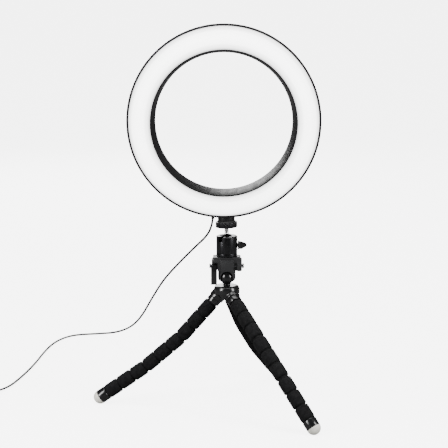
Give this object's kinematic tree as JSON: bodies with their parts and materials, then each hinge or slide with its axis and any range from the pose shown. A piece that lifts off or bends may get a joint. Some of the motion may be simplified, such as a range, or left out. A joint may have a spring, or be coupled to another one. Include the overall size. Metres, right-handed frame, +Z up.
{
  "type": "ring light",
  "caption": "Ring light with a milky diffuser on a mini ball head and clamp block, standing on flexible foam-covered tripod legs, with a USB power lead.",
  "frame": {"origin": "on the floor, under the middle of the object without its power lead", "axes": "+Z up; the light shines along -Y; +X to the right seen from the front"},
  "size_m": [0.4173, 0.4171, 0.4018],
  "materials": {
    "black_shell": "satin",
    "milky_cover": "satin",
    "white_tray": "gloss",
    "circuit_board": "satin",
    "screw_steel": "satin",
    "insert_brass": "satin",
    "lead_rubber": "satin",
    "disc_metal": "satin",
    "pad_rubber": "matte",
    "stem_steel": "gloss",
    "nylon": "satin",
    "gloss_black": "gloss",
    "block_plastic": "satin",
    "leg_foam": "matte",
    "core_wire": "satin",
    "ferrule_plastic": "gloss",
    "foot_rubber": "matte",
    "plug_steel": "gloss",
    "controller_plastic": "satin",
    "button_plastic": "satin"
  },
  "bodies": {
    "barrel": {"barrel": "disc_metal", "ball_seat": "nylon", "cord_run": "lead_rubber", "cord_ends": "lead_rubber", "cord_coil": "lead_rubber", "usb_plug": "lead_rubber", "usb_sleeve": "plug_steel", "controller_base": "controller_plastic", "controller_top": "controller_plastic", "controller_board": "circuit_board"},
    "ring_head": {"back_shell": "black_shell", "diffuser": "milky_cover", "reflector_tray": "white_tray", "led_board": "circuit_board", "shell_screws": "screw_steel", "cord_gland": "lead_rubber", "mount_boss": "black_shell", "thread_insert": "insert_brass", "ball_stem": "stem_steel"},
    "lock_disc": {"lock_disc": "disc_metal", "rubber_pad": "pad_rubber"},
    "clamp_knob": {"clamp_screw": "screw_steel", "wing_knob": "gloss_black"},
    "clamp_block": {"release_plate": "block_plastic", "clamp_block": "block_plastic", "plate_screws": "screw_steel", "bolt_nut": "screw_steel"},
    "clamp_lever": {"clamp_bolt": "screw_steel", "clamp_lever": "gloss_black"},
    "ball_liner": {"block_liner": "nylon"},
    "hub": {"hub_ball": "gloss_black", "hub": "gloss_black", "leg_collars": "gloss_black"},
    "left_leg_upper": {"left_leg_upper_sleeve": "leg_foam", "left_leg_upper_core": "core_wire"},
    "left_leg_middle": {"left_leg_middle_sleeve": "leg_foam", "left_leg_middle_core": "core_wire"},
    "left_leg_lower": {"left_leg_lower_sleeve": "leg_foam", "left_leg_lower_core": "core_wire", "left_leg_ferrule": "ferrule_plastic", "left_leg_foot": "foot_rubber"},
    "right_leg_upper": {"right_leg_upper_sleeve": "leg_foam", "right_leg_upper_core": "core_wire"},
    "right_leg_middle": {"right_leg_middle_sleeve": "leg_foam", "right_leg_middle_core": "core_wire"},
    "right_leg_lower": {"right_leg_lower_sleeve": "leg_foam", "right_leg_lower_core": "core_wire", "right_leg_ferrule": "ferrule_plastic", "right_leg_foot": "foot_rubber"},
    "rear_leg_upper": {"rear_leg_upper_sleeve": "leg_foam", "rear_leg_upper_core": "core_wire"},
    "rear_leg_middle": {"rear_leg_middle_sleeve": "leg_foam", "rear_leg_middle_core": "core_wire"},
    "rear_leg_lower": {"rear_leg_lower_sleeve": "leg_foam", "rear_leg_lower_core": "core_wire", "rear_leg_ferrule": "ferrule_plastic", "rear_leg_foot": "foot_rubber"},
    "left_button": {"left_button": "button_plastic"},
    "middle_button": {"middle_button": "button_plastic"},
    "right_button": {"right_button": "button_plastic"}
  },
  "joints": [
    {"name": "ring_tilt", "type": "hinge", "parent": "barrel", "child": "ring_head", "pos_m": [0.0222, -0.0107, 0.1785], "axis": [1, 0, 0], "range_deg": [-30, 30], "deforming": ["cord_run"]},
    {"name": "lock_disc_turn", "type": "hinge", "parent": "ring_head", "child": "lock_disc", "pos_m": [0.02188, -0.0107, 0.1916], "axis": [-0.0244, 0, 0.9997], "range_deg": [-180, 180]},
    {"name": "clamp_knob_turn", "type": "hinge", "parent": "barrel", "child": "clamp_knob", "pos_m": [0.0335, -0.0107, 0.1726], "axis": [1, 0, 0], "range_deg": [0, 360]},
    {"name": "barrel_swivel", "type": "hinge", "parent": "barrel", "child": "clamp_block", "pos_m": [0.0222, -0.0107, 0.161], "axis": [0, 0, 1], "continuous": true},
    {"name": "clamp_lever_turn", "type": "hinge", "parent": "clamp_block", "child": "clamp_lever", "pos_m": [0.0065, -0.0156, 0.1516], "axis": [1, 0, 0], "range_deg": [-100, 10]},
    {"name": "stand_roll", "type": "hinge", "parent": "clamp_block", "child": "ball_liner", "pos_m": [0.0222, -0.0107, 0.1387], "axis": [0, 1, 0], "range_deg": [-12, 5]},
    {"name": "stand_tilt", "type": "hinge", "parent": "ball_liner", "child": "hub", "pos_m": [0.0222, -0.0107, 0.1387], "axis": [1, 0, 0], "range_deg": [-5, 15]},
    {"name": "left_leg_upper_bend", "type": "hinge", "parent": "hub", "child": "left_leg_upper", "pos_m": [0.00695, -0.0091, 0.11157], "axis": [0.1045, 0.9945, 0], "range_deg": [-7, 7]},
    {"name": "left_leg_middle_bend", "type": "hinge", "parent": "left_leg_upper", "child": "left_leg_middle", "pos_m": [-0.02571, -0.00566, 0.07354], "axis": [0.1132, 0.9936, 0], "range_deg": [-7, 7]},
    {"name": "left_leg_lower_bend", "type": "hinge", "parent": "left_leg_middle", "child": "left_leg_lower", "pos_m": [-0.06327, -0.00138, 0.04044], "axis": [0.0262, 0.9997, 0], "range_deg": [-7, 7]},
    {"name": "right_leg_upper_bend", "type": "hinge", "parent": "hub", "child": "right_leg_upper", "pos_m": [0.03173, -0.0252, 0.11379], "axis": [-0.8358, -0.549, 0], "range_deg": [-7, 7]},
    {"name": "right_leg_middle_bend", "type": "hinge", "parent": "right_leg_upper", "child": "right_leg_middle", "pos_m": [0.05421, -0.05944, 0.08468], "axis": [-0.7524, -0.6587, 0], "range_deg": [-7, 7]},
    {"name": "right_leg_lower_bend", "type": "hinge", "parent": "right_leg_middle", "child": "right_leg_lower", "pos_m": [0.07869, -0.0874, 0.05086], "axis": [-0.6374, -0.7705, 0], "range_deg": [-7, 7]},
    {"name": "rear_leg_upper_bend", "type": "hinge", "parent": "hub", "child": "rear_leg_upper", "pos_m": [0.02706, 0.0049, 0.11254], "axis": [0.9548, -0.2974, 0], "range_deg": [-7, 7]},
    {"name": "rear_leg_middle_bend", "type": "hinge", "parent": "rear_leg_upper", "child": "rear_leg_middle", "pos_m": [0.03802, 0.0401, 0.0784], "axis": [0.8957, -0.4446, 0], "range_deg": [-7, 7]},
    {"name": "rear_leg_lower_bend", "type": "hinge", "parent": "rear_leg_middle", "child": "rear_leg_lower", "pos_m": [0.05423, 0.07275, 0.04381], "axis": [0.8643, -0.503, 0], "range_deg": [-7, 7]},
    {"name": "left_button_press", "type": "slide", "parent": "barrel", "child": "left_button", "axis": [0, 0, -1], "range_m": [0, 0.0008], "stiffness_N_per_m": 600, "springref_m": -0.0004},
    {"name": "middle_button_press", "type": "slide", "parent": "barrel", "child": "middle_button", "axis": [0, 0, -1], "range_m": [0, 0.0008], "stiffness_N_per_m": 600, "springref_m": -0.0004},
    {"name": "right_button_press", "type": "slide", "parent": "barrel", "child": "right_button", "axis": [0, 0, -1], "range_m": [0, 0.0008], "stiffness_N_per_m": 600, "springref_m": -0.0004}
  ]
}
